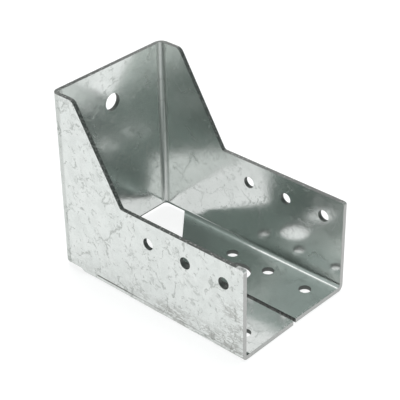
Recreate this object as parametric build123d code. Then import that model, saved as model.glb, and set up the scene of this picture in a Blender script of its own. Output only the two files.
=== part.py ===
"""Seat bracket for a beam end, folded from one blank of galvanised sheet steel.

A tall back plate, two side walls that step down to the front, and a base made of two
flanges that meet at a seam under the middle. Frame: X across the bracket, +Y towards
the back plate, +Z up, with the origin under the middle of the bracket, on the plane
that it stands on. Lengths are in millimetres and angles in degrees.
"""
from build123d import *
from math import cos, radians, sin, tan
import os

# The sheet and its folds
sheet = 3.0                    # thickness of the steel
corner_inner_radius = 2.5      # folds between the back plate and the side walls
base_inner_radius = 1.0        # folds between the side walls and the base flanges
right_overbend = 1.0           # the right flange is folded this much past square

# Overall shape
inner_width = 90.0             # clear width between the side walls
length = 153.0                 # back face of the back plate to the front edge
back_height = 126.0            # top of the back plate
side_height = 65.0             # low front part of the side walls
shoulder_depth = 18.5          # back face to where the slope meets the top edge
slope_foot_depth = 55.5        # back face to where the slope meets the low edge
shoulder_radius = 5.0          # rounding at the top of the slope
slope_foot_radius = 2.0        # rounding in the inside corner at its foot
front_corner_radius = 1.5      # rounding at the front top corner of a side wall

# Base
seam_gap = 2.2                 # gap between the two flanges
relief_depth = 20.5            # back face to the rear edge of a flange, at the wall
relief_angle = 40.0            # slant of that edge, towards the front at the seam
relief_radius = 3.0            # rounding where the slanted edge runs into the wall

# Holes
nail_hole = 8.0                # diameter of the holes in the walls and flanges
holes_per_row = 3
hole_pitch = 30.0
first_hole = 15.0              # front edge to the first hole of each row
side_hole_drop = 15.0          # low edge of a side wall down to its row of holes
base_hole_inset = 19.0         # outer face of a side wall to the row in its flange
back_hole = 12.0               # diameter of the hole in the back plate
back_hole_drop = 25.5          # top of the back plate down to that hole
large_hole = 20.0              # diameter of the large hole in each flange
large_hole_front = 60.0        # front edge to the large holes
large_hole_offset = 14.5       # seam to the large holes

# Worked out from the above
half_width = inner_width / 2 + sheet
back_y = length / 2
front_y = -length / 2
fold_height = base_inner_radius + sheet    # walls are flat above this, curved below
spare = 1.0                    # how far a cutting tool runs past what it cuts


def upright():
    """Back plate and side walls as one U in plan, still square at the top."""
    inner_x = half_width - sheet
    inner_y = back_y - sheet
    outside = FilletPolyline(
        (-half_width, front_y), (-half_width, back_y), (half_width, back_y), (half_width, front_y),
        radius=corner_inner_radius + sheet,
    )
    inside = FilletPolyline(
        (-inner_x, front_y), (-inner_x, inner_y), (inner_x, inner_y), (inner_x, front_y),
        radius=corner_inner_radius,
    )
    left_end = Line((-half_width, front_y), (-inner_x, front_y))
    right_end = Line((inner_x, front_y), (half_width, front_y))
    plan = make_face([*outside.edges(), *inside.edges(), left_end, right_end])
    return Pos(0, 0, fold_height) * extrude(plan, back_height - fold_height)


def side_outline():
    """What a side wall keeps, seen from the side, as a block across the bracket."""
    shoulder = (back_y - shoulder_depth, back_height)
    foot = (back_y - slope_foot_depth, side_height)
    front_corner = (front_y, side_height)
    face = make_face(Polyline(
        (back_y, fold_height), (back_y, back_height), shoulder, foot, front_corner,
        (front_y, fold_height), close=True,
    ))
    rounded = ((shoulder, shoulder_radius), (foot, slope_foot_radius), (front_corner, front_corner_radius))
    for corner, radius in rounded:
        face = fillet(face.vertices().sort_by_distance(corner)[0], radius)
    return extrude(Plane.YZ * face, half_width + spare, both=True)


def base_fold(side, overbend):
    """Fold and flange under one side wall, over the full length of the bracket."""
    turn = radians(90 + overbend)
    outer_radius = base_inner_radius + sheet
    centre_x = half_width - outer_radius
    heading = (-sin(turn), -cos(turn))     # along the flange, from the fold to the seam

    def on_fold(radius, angle):
        return (side * (centre_x + radius * cos(angle)), fold_height - radius * sin(angle))

    def along_flange(start, distance):
        return (start[0] + side * heading[0] * distance, start[1] + heading[1] * distance)

    outer_end = on_fold(outer_radius, turn)
    inner_end = on_fold(base_inner_radius, turn)
    reach = (abs(outer_end[0]) - seam_gap / 2) / -heading[0]
    outer_tip = along_flange(outer_end, reach)
    inner_tip = along_flange(inner_end, reach)
    section = make_face([
        ThreePointArc(on_fold(outer_radius, 0), on_fold(outer_radius, turn / 2), outer_end),
        Line(outer_end, outer_tip),
        Line(outer_tip, inner_tip),
        Line(inner_tip, inner_end),
        ThreePointArc(inner_end, on_fold(base_inner_radius, turn / 2), on_fold(base_inner_radius, 0)),
        Line(on_fold(base_inner_radius, 0), on_fold(outer_radius, 0)),
    ])
    return extrude(Plane.XZ * section, length / 2, both=True)


def rear_relief():
    """Opening behind the flanges, whose slanted edges run forward to the seam."""
    slant = tan(radians(relief_angle))
    wall_y = back_y - relief_depth + sheet * slant
    seam_y = wall_y - half_width * slant
    face = make_face(Polyline(
        (-half_width, back_y), (-half_width, wall_y), (0, seam_y),
        (half_width, wall_y), (half_width, back_y), close=True,
    ))
    for corner in ((-half_width, wall_y), (half_width, wall_y)):
        face = fillet(face.vertices().sort_by_distance(corner)[0], relief_radius)
    return Pos(0, 0, -spare) * extrude(face, fold_height + spare)


def holes():
    """Every hole as one set of pins to cut out of the folded sheet."""
    side_z = side_height - side_hole_drop
    base_x = half_width - base_hole_inset
    across = Rot(0, 90, 0) * Cylinder(nail_hole / 2, 2 * (half_width + spare))
    down = Cylinder(nail_hole / 2, 2 * (fold_height + spare))
    pins = []
    for number in range(holes_per_row):
        row_y = front_y + first_hole + number * hole_pitch
        pins.append(Pos(0, row_y, side_z) * across)
        pins += [Pos(side * base_x, row_y, 0) * down for side in (-1, 1)]
    large = Cylinder(large_hole / 2, 2 * (fold_height + spare))
    pins += [Pos(side * large_hole_offset, front_y + large_hole_front, 0) * large for side in (-1, 1)]
    back_pin = Rot(90, 0, 0) * Cylinder(back_hole / 2, 2 * (sheet + spare))
    pins.append(Pos(0, back_y, back_height - back_hole_drop) * back_pin)
    return pins


walls = upright() & side_outline()
base = base_fold(-1, 0) + base_fold(1, right_overbend) - rear_relief()
bracket = walls + base - holes()

os.makedirs("parts", exist_ok=True)
export_step(bracket, "parts/folded_bracket.step")
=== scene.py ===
"""Looks of the folded sheet-steel seat bracket: galvanised finish, floor, soft light and camera."""

from math import cos, radians

import bpy
from mathutils import Matrix, Vector


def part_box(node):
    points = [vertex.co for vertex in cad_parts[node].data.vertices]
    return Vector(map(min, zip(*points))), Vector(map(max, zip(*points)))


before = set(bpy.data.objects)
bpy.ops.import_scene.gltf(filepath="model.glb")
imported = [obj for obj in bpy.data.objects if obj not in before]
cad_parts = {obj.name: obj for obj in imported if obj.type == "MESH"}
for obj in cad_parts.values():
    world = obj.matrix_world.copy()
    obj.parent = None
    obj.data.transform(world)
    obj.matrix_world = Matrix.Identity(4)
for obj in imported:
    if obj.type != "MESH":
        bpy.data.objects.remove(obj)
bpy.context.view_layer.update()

MM = 0.001
low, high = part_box("folded_bracket")
FRONT_Y = low.y
BACK_Y = high.y
HALF_WIDTH = high.x
SHEET = 3.0 * MM                 # thickness of the steel
FOLD_HEIGHT = 4.0 * MM           # the walls are flat above this, folded into the base below
CORNER_RADIUS = 5.5 * MM         # outside of the folds beside the back plate
SIDE_HOLE_HEIGHT = 50.0 * MM     # row of holes in each side wall
SIDE_HEIGHT = 65.0 * MM          # low front part of the side walls
FRONT_CORNER_RADIUS = 1.5 * MM   # rounding of the side walls' front top corners


# --- Shader helpers --------------------------------------------------------------------

# Blender's mix node has one set of sockets per data type, so they are picked by number:
# the share, the first value, the second value, and the result.
MIX_SOCKETS = {"FLOAT": (0, 2, 3, 0), "VECTOR": (0, 4, 5, 1), "RGBA": (0, 6, 7, 2)}


class Nodes:
    """Short calls that add shader nodes to one tree and link them."""

    def __init__(self, tree):
        self.tree = tree

    def add(self, kind, **settings):
        node = self.tree.nodes.new(kind)
        for name, value in settings.items():
            setattr(node, name, value)
        return node

    def put(self, socket, value):
        if isinstance(value, bpy.types.NodeSocket):
            self.tree.links.new(value, socket)
        else:
            socket.default_value = value

    def math(self, operation, *values):
        node = self.add("ShaderNodeMath", operation=operation)
        for socket, value in zip(node.inputs, values):
            self.put(socket, value)
        return node.outputs[0]

    def vector(self, operation, *values):
        node = self.add("ShaderNodeVectorMath", operation=operation)
        for socket, value in zip(node.inputs, values):
            self.put(socket, value)
        return node.outputs[0]

    def dot(self, first, second):
        """Dot product."""
        node = self.add("ShaderNodeVectorMath", operation="DOT_PRODUCT")
        self.put(node.inputs[0], first)
        self.put(node.inputs[1], second)
        return node.outputs["Value"]

    def split(self, vector):
        node = self.add("ShaderNodeSeparateXYZ")
        self.put(node.inputs[0], vector)
        return node.outputs

    def size_of(self, value):
        """The value without its sign."""
        return self.math("ABSOLUTE", value)

    def scale(self, value, factor):
        return self.math("MULTIPLY", value, factor)

    def above(self, value, limit):
        return self.math("GREATER_THAN", value, limit)

    def below(self, value, limit):
        return self.math("LESS_THAN", value, limit)

    def both(self, *masks):
        result = masks[0]
        for mask in masks[1:]:
            result = self.math("MULTIPLY", result, mask)
        return result

    def either(self, *masks):
        result = masks[0]
        for mask in masks[1:]:
            result = self.math("MAXIMUM", result, mask)
        return result

    def ramp(self, value, start, end, low=0.0, high=1.0, smooth=True):
        interpolation = "SMOOTHSTEP" if smooth else "LINEAR"
        node = self.add("ShaderNodeMapRange", interpolation_type=interpolation)
        for socket, number in zip(node.inputs, (value, start, end, low, high)):
            self.put(socket, number)
        return node.outputs[0]

    def noise(self, place, size, detail=2.0, rough=0.5, distortion=0.0, output="Fac"):
        """Noise whose features are about size metres across."""
        node = self.add("ShaderNodeTexNoise")
        self.put(node.inputs["Vector"], place)
        self.put(node.inputs["Scale"], 1.0 / size)
        self.put(node.inputs["Detail"], detail)
        self.put(node.inputs["Roughness"], rough)
        self.put(node.inputs["Distortion"], distortion)
        return node.outputs[output]

    def cells(self, place, size, feature="F1"):
        node = self.add("ShaderNodeTexVoronoi", feature=feature)
        self.put(node.inputs["Vector"], place)
        self.put(node.inputs["Scale"], 1.0 / size)
        return node.outputs

    def mix(self, share, first, second, kind="FLOAT"):
        """First value where share is 0, second value where it is 1."""
        node = self.add("ShaderNodeMix", data_type=kind)
        share_at, first_at, second_at, result_at = MIX_SOCKETS[kind]
        self.put(node.inputs[share_at], share)
        self.put(node.inputs[first_at], first)
        self.put(node.inputs[second_at], second)
        return node.outputs[result_at]

    def tint(self, share, colour, towards):
        """Colour, turned towards the other one by share."""
        return self.mix(share, colour, towards, kind="RGBA")

    def bump(self, height, distance, normal):
        node = self.add("ShaderNodeBump")
        self.put(node.inputs["Height"], height)
        self.put(node.inputs["Distance"], distance)
        self.put(node.inputs["Strength"], 1.0)
        self.put(node.inputs["Normal"], normal)
        return node.outputs[0]


# --- Where the sheet was cut -----------------------------------------------------------

BASE_TOP = 1.2 * FOLD_HEIGHT     # the whole base lies below this
SLIM = 0.05 * MM                 # keeps a face's own plane inside or outside of a mask
STEEP = 0.5                      # a normal with more than this along an axis looks that way
UPWARD = 0.4                     # the same for the top edges, so that the sloped ones count
HOLE_REACH = 4.5 * MM            # from the middle of a small hole to just outside of its bore
BACK_HOLE_REACH = 8 * MM         # the same for the hole in the back plate


def cut_edges(nodes, place, normal):
    """1 on the sheared edges and in the holes, 0 on the sheet's own two faces."""
    x, y, z = nodes.split(place)
    nx, ny, nz = nodes.split(normal)
    across = nodes.size_of(x)
    not_sideways = nodes.below(nodes.size_of(nx), STEEP)
    not_endways = nodes.below(nodes.size_of(ny), STEEP)
    upright = nodes.below(nodes.size_of(nz), STEEP)
    top_edges = nodes.both(nodes.above(nz, UPWARD), nodes.above(z, 2 * FOLD_HEIGHT))
    bottom_edges = nodes.both(nodes.below(nz, -STEEP), nodes.above(z, FOLD_HEIGHT - SLIM))
    front_edges = nodes.below(y, FRONT_Y + SLIM)
    relief_edges = nodes.both(
        nodes.above(ny, STEEP), nodes.below(z, BASE_TOP),
        nodes.below(y, BACK_Y - 2 * CORNER_RADIUS))
    base_edges = nodes.both(
        upright, nodes.below(z, BASE_TOP), nodes.below(across, HALF_WIDTH - FOLD_HEIGHT))
    wall_edges = nodes.both(
        not_sideways,
        nodes.above(across, HALF_WIDTH - SHEET + SLIM), nodes.below(across, HALF_WIDTH - SLIM),
        nodes.below(y, BACK_Y - CORNER_RADIUS - SLIM), nodes.above(z, FOLD_HEIGHT - SLIM))
    back_edges = nodes.both(
        not_endways, nodes.above(y, BACK_Y - SHEET + SLIM), nodes.below(y, BACK_Y - SLIM),
        nodes.below(across, HALF_WIDTH - CORNER_RADIUS - SLIM))
    return nodes.either(
        top_edges, bottom_edges, front_edges, relief_edges, base_edges, wall_edges, back_edges)


def hole_bores(nodes, place, edge):
    """The sheared edges inside the holes, away from the outline of the sheet."""
    x, y, z = nodes.split(place)
    across = nodes.size_of(x)
    off_row = nodes.size_of(nodes.math("SUBTRACT", z, SIDE_HOLE_HEIGHT))
    on_side_row = nodes.below(off_row, HOLE_REACH)
    behind_front = nodes.above(y, FRONT_Y + MM)
    ahead_of_relief = nodes.below(y, BACK_Y - 72 * MM)
    beside_seam = nodes.above(across, 2 * MM)
    below_back_top = nodes.below(z, high.z - 10 * MM)
    along_rows = nodes.both(behind_front, ahead_of_relief)
    in_walls = nodes.both(on_side_row, along_rows, nodes.above(across, HALF_WIDTH - 2 * SHEET))
    in_base = nodes.both(
        nodes.below(z, BASE_TOP), along_rows, beside_seam,
        nodes.below(across, HALF_WIDTH - FOLD_HEIGHT))
    in_back = nodes.both(
        nodes.above(y, BACK_Y - 2 * SHEET), nodes.below(across, BACK_HOLE_REACH), below_back_top)
    return nodes.both(edge, nodes.either(in_walls, in_base, in_back))


# --- Galvanised steel ------------------------------------------------------------------

BRIGHT_ZINC = (0.84, 0.86, 0.845, 1.0)
DULL_ZINC = (0.775, 0.81, 0.79, 1.0)
# Colour of the zinc's marks, also used as painted shade in the folds beside the back plate
MARK_AND_FOLD_SHADE_ZINC = (0.38, 0.40, 0.38, 1.0)
# Colour of bright zinc beading, also used for painted highlights: glints on the top edges and the
# burr at the left wall's front corner
BEAD_AND_HIGHLIGHT_ZINC = (0.93, 0.94, 0.93, 1.0)
# Darker grey for patches on the outside of the left wall
GREY_PATCH_ZINC = (0.36, 0.36, 0.34, 1.0)
SHEARED_STEEL = (0.135, 0.145, 0.138, 1.0)
SHEARED_GLINT = (0.34, 0.34, 0.33, 1.0)
# Painted shade along the fold under the left wall
FOLD_SHADE_COLOUR = (0.12, 0.12, 0.11, 1.0)
# Painted light: the top edges lighter towards the right, and the front faces lighter
TOP_EDGE_PAINTED_LIGHT = (0.34, 0.345, 0.335, 1.0)
FRONT_EDGE_PAINTED_LIGHT = (0.66, 0.66, 0.65, 1.0)
BORE_STEEL = (0.15, 0.16, 0.152, 1.0)

CRYSTAL_SIZE = 17 * MM
CRINKLE_SIZE = 9 * MM
MOTTLE_SIZE = 7 * MM
PATCH_SIZE = 18 * MM             # patches of duller zinc
SPECK_SIZE = 1.1 * MM
GRIT_SIZE = 1.3 * MM             # on the sheared edges
BORDER_WANDER = 7 * MM           # how far the borders of the crystals stray
INNER_MARKS = 0.5                # strength of the marks on the inner faces
MARK_COLOUR = 0.64               # how far a full mark goes towards MARK_AND_FOLD_SHADE_ZINC

BEND_EASE = 3.2 * MM             # how far the inside of a base fold eases into the sheet
WALL_SWEEP = 10.0 * MM           # how far the wall above it stays very slightly curved
EASE_START = 0.7 * MM            # nearer to the fold than this, both are at their full share
EASE_INSET = 0.5 * MM            # the point that they are measured from, off the sheet's faces
BEND_SHARE = 0.8
SWEEP_SHARE = 0.26
DIAGONAL = 0.7071                # x and z of a direction at 45 degrees

FOLD_LINE_HEIGHT = 5.3 * MM

SMOOTH_ROUGHNESS = 0.12
DULL_ROUGHNESS = 0.17
MARK_ROUGHNESS = 0.25            # added by a full mark
REAR_FOLD_ROUGHNESS = 0.16       # added on the folds beside the back plate
EDGE_ROUGHNESS = 0.55

WAVE_HEIGHT = 0.10 * MM
MARK_DEPTH = 0.012 * MM
GRAIN_HEIGHT = 0.003 * MM
GRIT_HEIGHT = 0.15 * MM


def crinkled_lines(nodes, place, size, width, coverage):
    """Thin broken lines that wander like the borders of zinc crystals."""
    field = nodes.noise(place, size, detail=5.0, rough=0.55, distortion=0.6)
    away = nodes.size_of(nodes.math("SUBTRACT", field, 0.5))
    line = nodes.ramp(away, 0.0, width, 1.0, 0.0)
    shifted = nodes.vector("ADD", place, (0.31, 0.17, 0.23))
    gate = nodes.noise(shifted, 1.3 * size, detail=3.0)
    return nodes.both(line, nodes.ramp(gate, 0.62 - coverage, 0.74 - coverage))


def crystal_borders(nodes, bent, size, width, coverage):
    """Some of the borders between zinc crystals, as thin darker lines."""
    border = nodes.cells(bent, size, feature="DISTANCE_TO_EDGE")["Distance"]
    line = nodes.ramp(border, 0.0, width / size, 1.0, 0.0)
    shifted = nodes.vector("ADD", bent, (0.11, 0.37, 0.05))
    gate = nodes.noise(shifted, 0.6 * size, detail=3.0, rough=0.6)
    return nodes.both(line, nodes.ramp(gate, 0.62 - coverage, 0.68 - coverage))


def wandered(nodes, place):
    """Place, shifted about a little so that straight borders come out crinkled."""
    crinkle = nodes.noise(place, 5 * MM, detail=4.0, rough=0.6, output="Color")
    wander = nodes.vector("SUBTRACT", crinkle, (0.5, 0.5, 0.5))
    wander = nodes.vector("MULTIPLY", wander, (BORDER_WANDER,) * 3)
    return nodes.vector("ADD", place, wander)


def zinc_tone(nodes, place, bent):
    """From brighter to duller zinc, by crystal and in wider patches."""
    by_crystal = nodes.split(nodes.cells(bent, 0.6 * CRYSTAL_SIZE)["Color"])[0]
    by_patch = nodes.noise(place, PATCH_SIZE, detail=4.0)
    return nodes.math("ADD", nodes.scale(by_crystal, 0.25), nodes.scale(by_patch, 0.75))


def zinc_marks(nodes, place, bent, normal):
    """Crystal borders, crinkled lines, specks and mottle, fainter on the inner faces."""
    x = nodes.split(place)[0]
    nx, ny, nz = nodes.split(normal)
    away_from_middle = nodes.math("MULTIPLY", nx, nodes.math("SIGN", x))
    outward = nodes.either(
        nodes.above(away_from_middle, STEEP), nodes.above(ny, STEEP), nodes.below(nz, -STEEP))
    borders = crystal_borders(nodes, bent, CRYSTAL_SIZE, 0.95 * MM, 0.12)
    small_borders = crystal_borders(nodes, bent, 0.45 * CRYSTAL_SIZE, 0.70 * MM, 0.08)
    lines = crinkled_lines(nodes, place, CRINKLE_SIZE, 0.045, 0.10)
    specks = nodes.ramp(nodes.noise(bent, SPECK_SIZE, detail=3.0), 0.68, 0.76)
    mottle = nodes.ramp(nodes.noise(bent, MOTTLE_SIZE, detail=5.0, rough=0.6), 0.40, 0.64)
    marks = nodes.either(
        borders, nodes.scale(small_borders, 0.9), nodes.scale(lines, 0.75),
        nodes.scale(specks, 0.8), nodes.scale(mottle, 0.20))
    strength = nodes.ramp(outward, 0.0, 1.0, INNER_MARKS, 1.0, smooth=False)
    return nodes.math("MULTIPLY", marks, strength)


def left_wall_grey_patches(nodes, place, outer_left):
    """Darker grey zinc in textured patches on the outside of the left wall, low down and beside its
    front edge.
    """
    _, y, z = nodes.split(place)
    ridges = nodes.vector("MULTIPLY", place, (1.0, 0.55, 1.5))
    texture = nodes.noise(ridges, 2.6 * MM, detail=5.0, rough=0.65, distortion=0.8)
    texture = nodes.ramp(texture, 0.44, 0.54)
    patches = nodes.ramp(nodes.noise(place, 11 * MM, detail=2.0), 0.32, 0.50)
    above_fold = nodes.ramp(z, 7 * MM, 19 * MM, 1.0, 0.0)
    less_at_back = nodes.ramp(y, BACK_Y - 100 * MM, BACK_Y - 50 * MM, 1.0, 0.25)
    beside_front = nodes.ramp(y, FRONT_Y + 8 * MM, FRONT_Y + 26 * MM, 0.75, 0.0)
    lower_part = nodes.ramp(z, 30 * MM, 50 * MM, 1.0, 0.0)
    low_band = nodes.both(above_fold, less_at_back)
    front_patch = nodes.both(beside_front, lower_part)
    grey_patches = nodes.both(texture, patches, nodes.either(low_band, front_patch))
    return nodes.both(outer_left, nodes.scale(grey_patches, 0.68))


def painted_fold_shade(nodes, place, outer_left):
    """Painted shade: a thin dark line along the fold under the left wall, fading towards the front.
    """
    _, y, z = nodes.split(place)
    off_line = nodes.size_of(nodes.math("SUBTRACT", z, FOLD_LINE_HEIGHT))
    line = nodes.ramp(off_line, 0.25 * MM, 0.60 * MM, 1.0, 0.0)
    start = nodes.ramp(y, BACK_Y - 32 * MM, BACK_Y - 30 * MM, 1.0, 0.0)
    fade = nodes.ramp(y, BACK_Y - 76 * MM, BACK_Y - 46 * MM, 0.30, 1.0)
    return nodes.both(outer_left, line, start, fade)


def zinc_beads_and_burr_highlight(nodes, place, normal):
    """Bright zinc beading near the front of the base, and a painted highlight on the burr at the
    left wall's front corner.
    """
    x, y, z = nodes.split(place)
    on_base = nodes.both(nodes.above(nodes.split(normal)[2], STEEP), nodes.below(z, BASE_TOP))
    fine = nodes.ramp(nodes.noise(place, 1.7 * MM, detail=2.0), 0.60, 0.68)
    coarse = nodes.ramp(nodes.noise(place, 2.0 * MM, detail=3.0), 0.50, 0.60)
    burr = nodes.ramp(nodes.noise(place, 4.0 * MM, detail=2.0), 0.38, 0.58)
    patches = nodes.ramp(nodes.noise(place, 12 * MM, detail=2.0), 0.40, 0.56)
    base_front = nodes.both(on_base, nodes.ramp(y, FRONT_Y + 8 * MM, FRONT_Y + 42 * MM, 1.0, 0.0))
    front_rim = nodes.both(on_base, nodes.below(y, FRONT_Y + 1.3 * MM))
    # Painted highlight: bright streaks on the burr at the left wall's front top corner
    corner = nodes.both(
        nodes.below(x, 0.0), nodes.above(z, SIDE_HEIGHT - 2 * MM), nodes.below(y, FRONT_Y + 6 * MM))
    return nodes.either(
        nodes.scale(nodes.both(base_front, fine, patches), 0.45),
        nodes.scale(nodes.both(front_rim, coarse), 0.7),
        nodes.scale(nodes.both(corner, burr), 0.7))


def edge_colour(nodes, place, normal, edge, grit):
    """Sheared steel, dark in the holes, with painted light: top edges lighter towards the right,
    painted glints on the level ones, and lighter front faces.
    """
    x, y, z = nodes.split(place)
    level_top = nodes.above(nodes.split(normal)[2], 0.9)
    # Painted light: top edges lighter towards the right, and painted glints on the level ones
    to_the_right = nodes.ramp(x, -0.9 * HALF_WIDTH, 0.9 * HALF_WIDTH, 0.05, 0.7)
    glints = nodes.both(level_top, nodes.ramp(grit, 0.60, 0.68))
    front_corner = nodes.both(
        nodes.below(y, FRONT_Y + FRONT_CORNER_RADIUS),
        nodes.above(z, SIDE_HEIGHT - FRONT_CORNER_RADIUS))
    # Painted light: the front faces lighter than the other cut edges
    front = nodes.either(nodes.below(y, FRONT_Y + SLIM), front_corner)
    colour = nodes.tint(nodes.ramp(grit, 0.42, 0.70), SHEARED_STEEL, SHEARED_GLINT)
    colour = nodes.tint(nodes.both(level_top, to_the_right), colour, TOP_EDGE_PAINTED_LIGHT)
    colour = nodes.tint(nodes.scale(glints, 0.7), colour, BEAD_AND_HIGHLIGHT_ZINC)
    colour = nodes.tint(nodes.scale(front, 0.8), colour, FRONT_EDGE_PAINTED_LIGHT)
    return nodes.tint(hole_bores(nodes, place, edge), colour, BORE_STEEL)


def eased_normal(nodes, place):
    """Surface normal, turned so that the inside of each base fold looks a wider curve."""
    x, _, z = nodes.split(place)
    normal = nodes.add("ShaderNodeNewGeometry").outputs["Normal"]
    inward = nodes.add("ShaderNodeCombineXYZ")
    nodes.put(inward.inputs["X"], nodes.scale(nodes.math("SIGN", x), -DIAGONAL))
    nodes.put(inward.inputs["Z"], DIAGONAL)
    inward = inward.outputs[0]
    corner_x = HALF_WIDTH - SHEET - EASE_INSET
    from_corner_x = nodes.math("SUBTRACT", nodes.size_of(x), corner_x)
    from_corner_z = nodes.math("SUBTRACT", z, SHEET + EASE_INSET)
    distance = nodes.math("SQRT", nodes.math(
        "ADD", nodes.math("POWER", from_corner_x, 2.0), nodes.math("POWER", from_corner_z, 2.0)))
    on_wall = nodes.above(from_corner_z, nodes.scale(from_corner_x, -1.0))
    sweep = nodes.ramp(distance, EASE_START, WALL_SWEEP, SWEEP_SHARE, 0.0, smooth=False)
    bend = nodes.ramp(distance, EASE_START, BEND_EASE, BEND_SHARE, 0.0, smooth=False)
    share = nodes.either(nodes.both(on_wall, sweep), bend)
    faces_inward = nodes.above(nodes.dot(normal, inward), 0.3)
    turned = nodes.mix(nodes.both(share, faces_inward), normal, inward, kind="VECTOR")
    return nodes.vector("NORMALIZE", turned)


def galvanised_steel():
    material = bpy.data.materials.new("galvanised_steel")
    material.use_nodes = True
    nodes = Nodes(material.node_tree)
    shader = material.node_tree.nodes["Principled BSDF"]
    place = nodes.add("ShaderNodeTexCoord").outputs["Object"]
    normal = nodes.add("ShaderNodeNewGeometry").outputs["True Normal"]
    x, y, _ = nodes.split(place)

    bent = wandered(nodes, place)
    tone = zinc_tone(nodes, place, bent)
    marks = zinc_marks(nodes, place, bent, normal)
    beads_and_burr_highlight = zinc_beads_and_burr_highlight(nodes, place, normal)
    edge = cut_edges(nodes, place, normal)
    grit = nodes.noise(place, GRIT_SIZE, detail=3.0)
    outer_left = nodes.both(
        nodes.below(nodes.split(normal)[0], -STEEP), nodes.below(x, -HALF_WIDTH + 0.5 * MM))
    # Folds beside the back plate: painted shade in the colour, and rougher zinc
    rear_fold_shade_and_roughness = nodes.both(
        nodes.ramp(nodes.size_of(x), HALF_WIDTH - 8 * MM, HALF_WIDTH - 6 * MM),
        nodes.ramp(y, BACK_Y - 8 * MM, BACK_Y - 6 * MM))

    colour = nodes.tint(tone, BRIGHT_ZINC, DULL_ZINC)
    colour = nodes.tint(nodes.scale(marks, MARK_COLOUR), colour, MARK_AND_FOLD_SHADE_ZINC)
    colour = nodes.tint(left_wall_grey_patches(nodes, place, outer_left), colour, GREY_PATCH_ZINC)
    # Painted shade along the fold under the left wall
    colour = nodes.tint(painted_fold_shade(nodes, place, outer_left), colour, FOLD_SHADE_COLOUR)
    colour = nodes.tint(edge, colour, edge_colour(nodes, place, normal, edge, grit))
    # Painted shade: the zinc is darkened in the folds beside the back plate
    colour = nodes.tint(nodes.scale(rear_fold_shade_and_roughness, 0.35), colour, MARK_AND_FOLD_SHADE_ZINC)
    # Bright zinc beading, with a painted highlight on the burr at the left wall's front corner
    colour = nodes.tint(beads_and_burr_highlight, colour, BEAD_AND_HIGHLIGHT_ZINC)
    nodes.put(shader.inputs["Base Color"], colour)
    shader.inputs["Metallic"].default_value = 1.0

    rough = nodes.ramp(tone, 0.3, 0.7, SMOOTH_ROUGHNESS, DULL_ROUGHNESS, smooth=False)
    rough = nodes.math("ADD", rough, nodes.scale(marks, MARK_ROUGHNESS))
    rough = nodes.math("ADD", rough, nodes.scale(rear_fold_shade_and_roughness, REAR_FOLD_ROUGHNESS))
    rough = nodes.math("MAXIMUM", rough, nodes.scale(nodes.either(edge, beads_and_burr_highlight), EDGE_ROUGHNESS))
    nodes.put(shader.inputs["Roughness"], rough)

    waves = nodes.noise(place, 16 * MM, detail=2.0)
    relief = nodes.bump(waves, WAVE_HEIGHT, eased_normal(nodes, place))
    relief = nodes.bump(nodes.scale(marks, -1.0), MARK_DEPTH, relief)
    relief = nodes.bump(grit, GRAIN_HEIGHT, relief)
    relief = nodes.bump(nodes.math("MULTIPLY", grit, edge), GRIT_HEIGHT, relief)
    nodes.put(shader.inputs["Normal"], relief)
    return material


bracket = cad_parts["folded_bracket"]
steel = galvanised_steel()
for slot in bracket.material_slots:
    slot.material = steel


# --- Floor -----------------------------------------------------------------------------

WHITE = (1.0, 1.0, 1.0, 1.0)
FLOOR_RADIUS = 4.0
FLOOR_TONE = 0.35
FLOOR_GLOW_SEEN = 0.80           # added to what the camera sees of the floor
FLOOR_GLOW_MIRRORED = 0.66       # added to what the steel mirrors of it


def pale_floor():
    """A round floor, white to the camera apart from shadows, and pale where the steel mirrors it."""
    bpy.ops.mesh.primitive_circle_add(vertices=96, radius=FLOOR_RADIUS, fill_type="NGON")
    floor = bpy.context.object
    floor.name = "floor"
    material = bpy.data.materials.new("pale_floor")
    material.use_nodes = True
    nodes = Nodes(material.node_tree)
    shader = material.node_tree.nodes["Principled BSDF"]
    shader.inputs["Base Color"].default_value = (FLOOR_TONE, FLOOR_TONE, FLOOR_TONE, 1.0)
    shader.inputs["Roughness"].default_value = 0.9
    shader.inputs["Specular IOR Level"].default_value = 0.0
    path = nodes.add("ShaderNodeLightPath").outputs
    mirrored = nodes.either(path["Is Glossy Ray"], path["Is Transmission Ray"])
    glow = nodes.either(
        nodes.scale(path["Is Camera Ray"], FLOOR_GLOW_SEEN),
        nodes.scale(mirrored, FLOOR_GLOW_MIRRORED))
    shader.inputs["Emission Color"].default_value = WHITE
    nodes.put(shader.inputs["Emission Strength"], glow)
    floor.data.materials.append(material)


pale_floor()


# --- Light -----------------------------------------------------------------------------

# The studio around the bracket: a fairly dark room, lighter to the right and behind, darker
# to the left, with a light ceiling and one small bright light high behind. Each entry is a
# direction from the bracket, the half-angles in degrees where its tone is full and where it
# has gone, and the tone. The camera sees white instead of it, and the steel mirrors it.
ROOM_TONE = 0.36
ROOM_TINT = (0.88, 1.0, 0.97, 1.0)
WHITE_FROM_TONE = 0.75           # lighter parts of the room have no tint
TINTED_TO_TONE = 0.45            # darker parts have all of it
STUDIO_SIDES = (
    ((0.62, 0.57, 0.54), 22.0, 42.0, 0.90),
    ((-0.62, 0.57, 0.54), 24.0, 44.0, 0.40),
    ((-0.62, -0.57, 0.54), 26.0, 48.0, 0.20),
    ((-0.10, 0.0, 1.0), 36.0, 50.0, 0.54),
    ((0.05, 0.57, 0.82), 8.0, 20.0, 1.40),
)

LAMP_PLACE = (0.2, 0.2, 1.6)
LAMP_SIZE = 1.2
LAMP_POWER = 11.0


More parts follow.
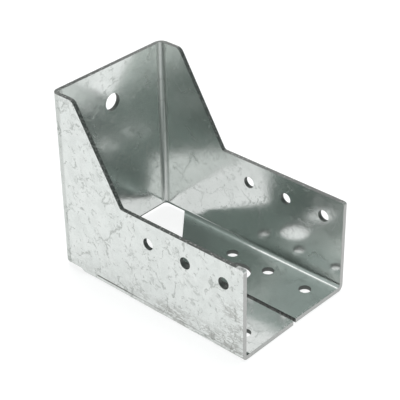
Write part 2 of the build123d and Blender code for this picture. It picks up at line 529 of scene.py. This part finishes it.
def studio_world():
    """White to the camera; to everything else a soft room with lighter and darker sides."""
    world = bpy.data.worlds.new("studio")
    bpy.context.scene.world = world
    world.use_nodes = True
    nodes = Nodes(world.node_tree)
    background = world.node_tree.nodes["Background"]
    direction = nodes.add("ShaderNodeTexCoord").outputs["Generated"]
    tone = ROOM_TONE
    for towards, full, gone, side_tone in STUDIO_SIDES:
        facing = nodes.dot(direction, Vector(towards).normalized())
        share = nodes.ramp(facing, cos(radians(gone)), cos(radians(full)))
        tone = nodes.mix(share, tone, side_tone)
    is_camera = nodes.add("ShaderNodeLightPath").outputs["Is Camera Ray"]
    nodes.put(background.inputs["Strength"], nodes.math("MAXIMUM", tone, is_camera))
    whiteness = nodes.either(is_camera, nodes.ramp(tone, TINTED_TO_TONE, WHITE_FROM_TONE))
    nodes.put(background.inputs["Color"], nodes.tint(whiteness, ROOM_TINT, WHITE))


def floor_lamp(aim):
    """Soft lamp overhead for the floor's shadow; the base would mirror it as a burnt-out patch."""
    lamp = bpy.data.lights.new("overhead_lamp", "AREA")
    lamp.shape = "SQUARE"
    lamp.size = LAMP_SIZE
    lamp.energy = LAMP_POWER
    holder = bpy.data.objects.new("overhead_lamp", lamp)
    holder.location = LAMP_PLACE
    holder.rotation_euler = (aim - Vector(LAMP_PLACE)).to_track_quat("-Z", "Y").to_euler()
    holder.visible_glossy = False
    bpy.context.scene.collection.objects.link(holder)


studio_world()
floor_lamp(aim=(low + high) / 2)


# --- Camera ----------------------------------------------------------------------------

CAMERA_PLACE = Vector((-505.8, -466.5, 495.4)) * MM
CAMERA_TURN = 47.32              # degrees from looking along +Y towards +X
CAMERA_DOWN = 32.46              # degrees below level
CAMERA_ROLL = -0.95              # degrees about the line of sight
FOCAL_LENGTH = 118.85            # in mm, as is the sensor's width
SENSOR_WIDTH = 36.0

camera = bpy.data.cameras.new("camera")
camera.lens = FOCAL_LENGTH
camera.sensor_width = SENSOR_WIDTH
viewer = bpy.data.objects.new("camera", camera)
turn = Matrix.Rotation(radians(-CAMERA_TURN), 4, "Z")
tilt = Matrix.Rotation(radians(90 - CAMERA_DOWN), 4, "X")
roll = Matrix.Rotation(radians(CAMERA_ROLL), 4, "Z")
viewer.matrix_world = Matrix.Translation(CAMERA_PLACE) @ turn @ tilt @ roll
bpy.context.scene.collection.objects.link(viewer)
bpy.context.scene.camera = viewer
bpy.context.scene.view_settings.view_transform = "Standard"
